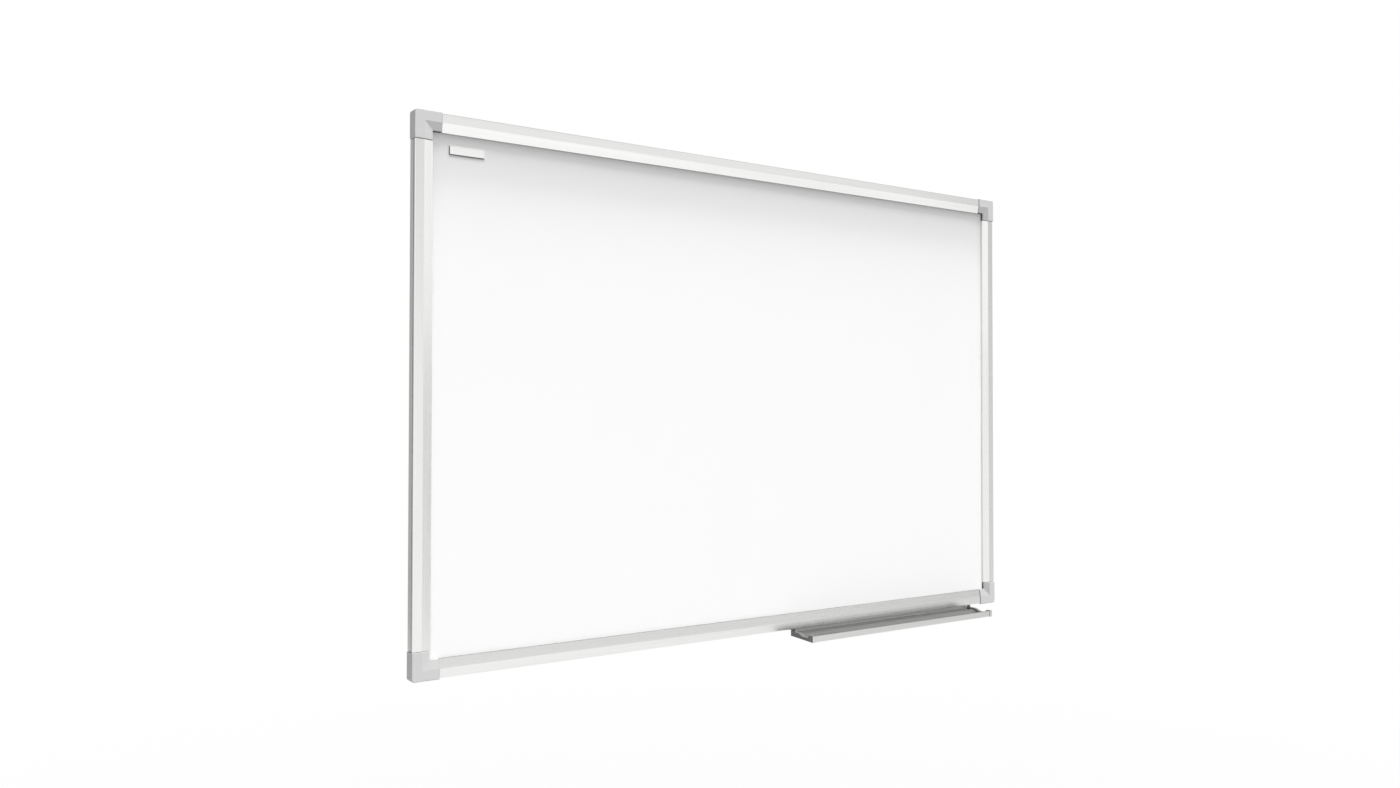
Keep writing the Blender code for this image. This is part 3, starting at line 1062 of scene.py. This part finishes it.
def makeLacquer():
    finish = lacquerFinish
    material, tree, shader = newMaterial("whiteLacquer", finish["colour"], finish["roughness"])
    mask = touchMask(tree, finish["touch"])
    tint(tree, shader, mask, shaded(finish["colour"], finish["touchShare"]), finish["colour"])
    smear = mathNode(tree, "MULTIPLY", mask, finish["touchSpread"])
    tree.links.new(mathNode(tree, "ADD", smear, finish["roughness"]), shader.inputs["Roughness"])
    place = addNode(tree, "ShaderNodeTexCoord")
    peel = addNode(tree, "ShaderNodeTexNoise", Scale=finish["peelPerMetre"], Detail=2)
    tree.links.new(place.outputs["Object"], peel.inputs["Vector"])
    bump(tree, shader, peel.outputs["Fac"], finish["peelDepth"])
    return material


# Zinc coating with its flat crystals.
def makeZinc():
    finish = zincFinish
    material, tree, shader = newMaterial("zincCoating", finish["colour"], finish["roughness"], metallic=1)
    place = addNode(tree, "ShaderNodeTexCoord")
    wander = addNode(tree, "ShaderNodeTexNoise", Scale=finish["wandersPerMetre"], Detail=2)
    tree.links.new(place.outputs["Object"], wander.inputs["Vector"])
    bent = addNode(tree, "ShaderNodeVectorMath", {"operation": "MULTIPLY_ADD"})
    tree.links.new(wander.outputs["Color"], bent.inputs[0])
    bent.inputs[1].default_value = [finish["wander"] * mm] * 3
    tree.links.new(place.outputs["Object"], bent.inputs[2])
    crystal = addNode(tree, "ShaderNodeTexVoronoi", Scale=finish["spanglesPerMetre"])
    tree.links.new(bent.outputs["Vector"], crystal.inputs["Vector"])
    single = addNode(tree, "ShaderNodeSeparateColor")
    tree.links.new(crystal.outputs["Color"], single.inputs["Color"])
    dark = shaded(finish["colour"], finish["darkShare"])
    tint(tree, shader, single.outputs["Red"], finish["colour"], dark)
    varied = spread(tree, single.outputs["Green"], 0, 1, *finish["roughnessRange"])
    tree.links.new(varied, shader.inputs["Roughness"])
    bump(tree, shader, crystal.outputs["Distance"], finish["spangleDepth"])
    return material


def makeFibre():
    finish = fibreFinish
    material, tree, shader = newMaterial("pressedFibre", finish["colour"], finish["roughness"])
    grain = useGrain(tree, finish["grainsPerMetre"])
    grain.inputs["Drift per metre"].default_value = finish["driftPerMetre"]
    dark = shaded(finish["colour"], finish["darkShare"])
    tint(tree, shader, grain.outputs["Drift"], finish["colour"], dark)
    bump(tree, shader, grain.outputs["Height"], finish["grainDepth"])
    return material


def dressPanel():
    dressNode("writing_surface", makeLacquer())
    dressNode("back_sheet", makeZinc())
    dressNode("core_board", makeFibre())
    print("panel dressed")


dressPanel()


# Studio

camera = {
    "place": (-0.8782, -1.1560, -0.0215),
    "yaw": 34.769,  # degrees from +Y towards +X
    "pitch": 1.068,
    "roll": 0.060,
    "focalPixels": 1130.2,
    "imageWidth": 1400,
    "sensorWidth": 36.0,
}
studio = {
    "ambient": 0.50,  # light from all round, as a share of white
    "floorDrop": 0.60,
    "floorRadius": 3.0,
    "floorSegments": 96,
    "floorColour": (0.35, 0.35, 0.35),
    "floorGlow": 0.95,
    "glowRange": (0.3, 0.9),  # of the radius, over which the glow grows to white
}
# A share is what a lamp adds to a white surface that faces the front. The panel has
# lamps of its own that brush down it, so that the top rail shades it.
suns = [
    {"name": "key", "azimuth": 60, "elevation": 50, "disc": 32, "share": 0.49, "panel": False},
    {"name": "brushLow", "azimuth": 0, "elevation": 87, "disc": 6, "share": 0.18, "panel": True},
    {"name": "brushMiddle", "azimuth": 0, "elevation": 80, "disc": 14, "share": 0.24, "panel": True},
    {"name": "brushHigh", "azimuth": 0, "elevation": 66, "disc": 34, "share": 0.13, "panel": True},
]
# Soft boxes that show as a sheen on one rail: name, rail, place, size and how bright a
# mirror shows them.
sheens = [
    ("sheenLeft", "left", (0.98, -1.33, 0.70), (1.0, 1.1), 0.36),
    ("sheenTop", "top", (0.85, -1.80, 0.50), (2.2, 1.1), 0.20),
    ("sheenTopEnd", "top", (1.94, -1.29, -0.20), (0.9, 0.6), 0.30),
    ("sheenRight", "right", (1.10, -1.78, 0.62), (0.8, 0.8), 0.24),
]
# Soft grey zones that the metal mirrors.
shades = [
    {"azimuth": 180, "elevation": 0, "reach": 90, "depth": 0.60},
    {"azimuth": 38, "elevation": 45, "reach": 50, "depth": 0.50},
    {"azimuth": 62, "elevation": -8, "reach": 32, "depth": 0.35},
]


def buildCamera():
    data = bpy.data.cameras.new("photoView")
    data.sensor_width = camera["sensorWidth"]
    data.lens = camera["focalPixels"] / camera["imageWidth"] * camera["sensorWidth"]
    item = bpy.data.objects.new("photoView", data)
    yaw = Matrix.Rotation(-math.radians(camera["yaw"]), 4, "Z")
    pitch = Matrix.Rotation(quarterTurn + math.radians(camera["pitch"]), 4, "X")
    roll = Matrix.Rotation(math.radians(camera["roll"]), 4, "Z")
    item.matrix_world = Matrix.Translation(camera["place"]) @ yaw @ pitch @ roll
    bpy.context.scene.collection.objects.link(item)
    bpy.context.scene.camera = item


def placeLamp(name, data, place, aim):
    item = bpy.data.objects.new(name, data)
    item.location = place
    item.rotation_euler = (Vector(aim) - Vector(place)).to_track_quat("-Z", "Y").to_euler()
    item.visible_camera = False
    item.visible_glossy = False
    bpy.context.scene.collection.objects.link(item)
    return item


# Azimuth runs from the front towards +X.
def towards(azimuth, elevation):
    level = math.cos(math.radians(elevation))
    return Vector((
        math.sin(math.radians(azimuth)) * level,
        -math.cos(math.radians(azimuth)) * level,
        math.sin(math.radians(elevation)),
    ))


def buildLamps():
    panel = nodes["writing_surface"]
    panelOnly = bpy.data.collections.new("panelOnly")
    panelOnly.objects.link(panel)
    allButPanel = bpy.data.collections.new("allButPanel")
    allButPanel.objects.link(panel)
    allButPanel.collection_objects[0].light_linking.link_state = "EXCLUDE"
    for sun in suns:
        way = towards(sun["azimuth"], sun["elevation"])
        data = bpy.data.lights.new(sun["name"], "SUN")
        data.angle = math.radians(sun["disc"])
        data.energy = sun["share"] * math.pi / -way.y
        item = placeLamp(sun["name"], data, way, (0, 0, 0))
        item.light_linking.receiver_collection = panelOnly if sun["panel"] else allButPanel
    for name, side, place, size, bright in sheens:
        rail = bpy.data.objects["rail_" + side + "_extrusion"]
        gleaming = bpy.data.collections.new(name)
        gleaming.objects.link(rail)
        data = bpy.data.lights.new(name, "AREA")
        data.shape = "RECTANGLE"
        data.size, data.size_y = size
        data.energy = bright * math.pi * data.size * data.size_y
        item = placeLamp(name, data, place, rail.location)
        item.visible_glossy = True
        item.light_linking.receiver_collection = gleaming


def anyOf(tree, *sockets):
    total = sockets[0]
    for socket in sockets[1:]:
        total = mathNode(tree, "MAXIMUM", total, socket)
    return total


def chosen(tree, mask, off, on):
    mix = addNode(tree, "ShaderNodeMix", {"data_type": "FLOAT"})
    tree.links.new(mask, mix.inputs["Factor"])
    feed(tree, mix.inputs["A"], off)
    feed(tree, mix.inputs["B"], on)
    return mix.outputs["Result"]


def buildWorld():
    world = bpy.data.worlds.new("paleStudio")
    world.use_nodes = True
    tree = world.node_tree
    tree.nodes.clear()
    place = addNode(tree, "ShaderNodeTexCoord")
    level = addNode(tree, "ShaderNodeValue").outputs[0]
    level.default_value = 1
    for shade in shades:
        along = addNode(tree, "ShaderNodeVectorMath", {"operation": "DOT_PRODUCT"})
        along.inputs[1].default_value = towards(shade["azimuth"], shade["elevation"])
        tree.links.new(place.outputs["Generated"], along.inputs[0])
        zone = addNode(tree, "ShaderNodeMapRange", {"interpolation_type": "SMOOTHSTEP"})
        zone.inputs["From Min"].default_value = math.cos(math.radians(shade["reach"]))
        zone.inputs["To Max"].default_value = shade["depth"]
        tree.links.new(along.outputs["Value"], zone.inputs["Value"])
        level = mathNode(tree, "SUBTRACT", level, zone.outputs["Result"])
    rays = addNode(tree, "ShaderNodeLightPath").outputs
    mirrored = chosen(tree, rays["Is Glossy Ray"], studio["ambient"], level)
    seen = anyOf(tree, rays["Is Camera Ray"], rays["Is Transmission Ray"])
    background = addNode(tree, "ShaderNodeBackground", Color=(1, 1, 1, 1))
    tree.links.new(chosen(tree, seen, mirrored, 1), background.inputs["Strength"])
    out = addNode(tree, "ShaderNodeOutputWorld")
    tree.links.new(background.outputs["Background"], out.inputs["Surface"])
    bpy.context.scene.world = world


def buildFloor():
    work = bmesh.new()
    radius = studio["floorRadius"]
    bmesh.ops.create_circle(work, cap_ends=True, segments=studio["floorSegments"], radius=radius)
    mesh = bpy.data.meshes.new("floor")
    work.to_mesh(mesh)
    work.free()
    material = bpy.data.materials.new("paleFloor")
    material.use_nodes = True
    tree = material.node_tree
    tree.nodes.clear()
    place = addNode(tree, "ShaderNodeTexCoord")
    distance = addNode(tree, "ShaderNodeVectorMath", {"operation": "LENGTH"})
    tree.links.new(place.outputs["Object"], distance.inputs[0])
    near, far = (radius * share for share in studio["glowRange"])
    glow = spread(tree, distance.outputs["Value"], near, far, studio["floorGlow"], 1)
    rays = addNode(tree, "ShaderNodeLightPath").outputs
    seen = anyOf(tree, rays["Is Camera Ray"], rays["Is Glossy Ray"], rays["Is Transmission Ray"])
    matt = addNode(tree, "ShaderNodeBsdfDiffuse", Color=(*studio["floorColour"], 1))
    white = addNode(tree, "ShaderNodeEmission", Color=(1, 1, 1, 1))
    mix = addNode(tree, "ShaderNodeMixShader")
    tree.links.new(mathNode(tree, "MULTIPLY", seen, glow), mix.inputs["Fac"])
    tree.links.new(matt.outputs["BSDF"], mix.inputs[1])
    tree.links.new(white.outputs["Emission"], mix.inputs[2])
    out = addNode(tree, "ShaderNodeOutputMaterial")
    tree.links.new(mix.outputs["Shader"], out.inputs["Surface"])
    mesh.materials.append(material)
    floor = bpy.data.objects.new("floor", mesh)
    floor.location.z = cadBounds[0][2] - studio["floorDrop"]
    bpy.context.scene.collection.objects.link(floor)


buildCamera()
buildLamps()
buildWorld()
buildFloor()
bpy.context.scene.view_settings.view_transform = "Standard"
print("studio built")
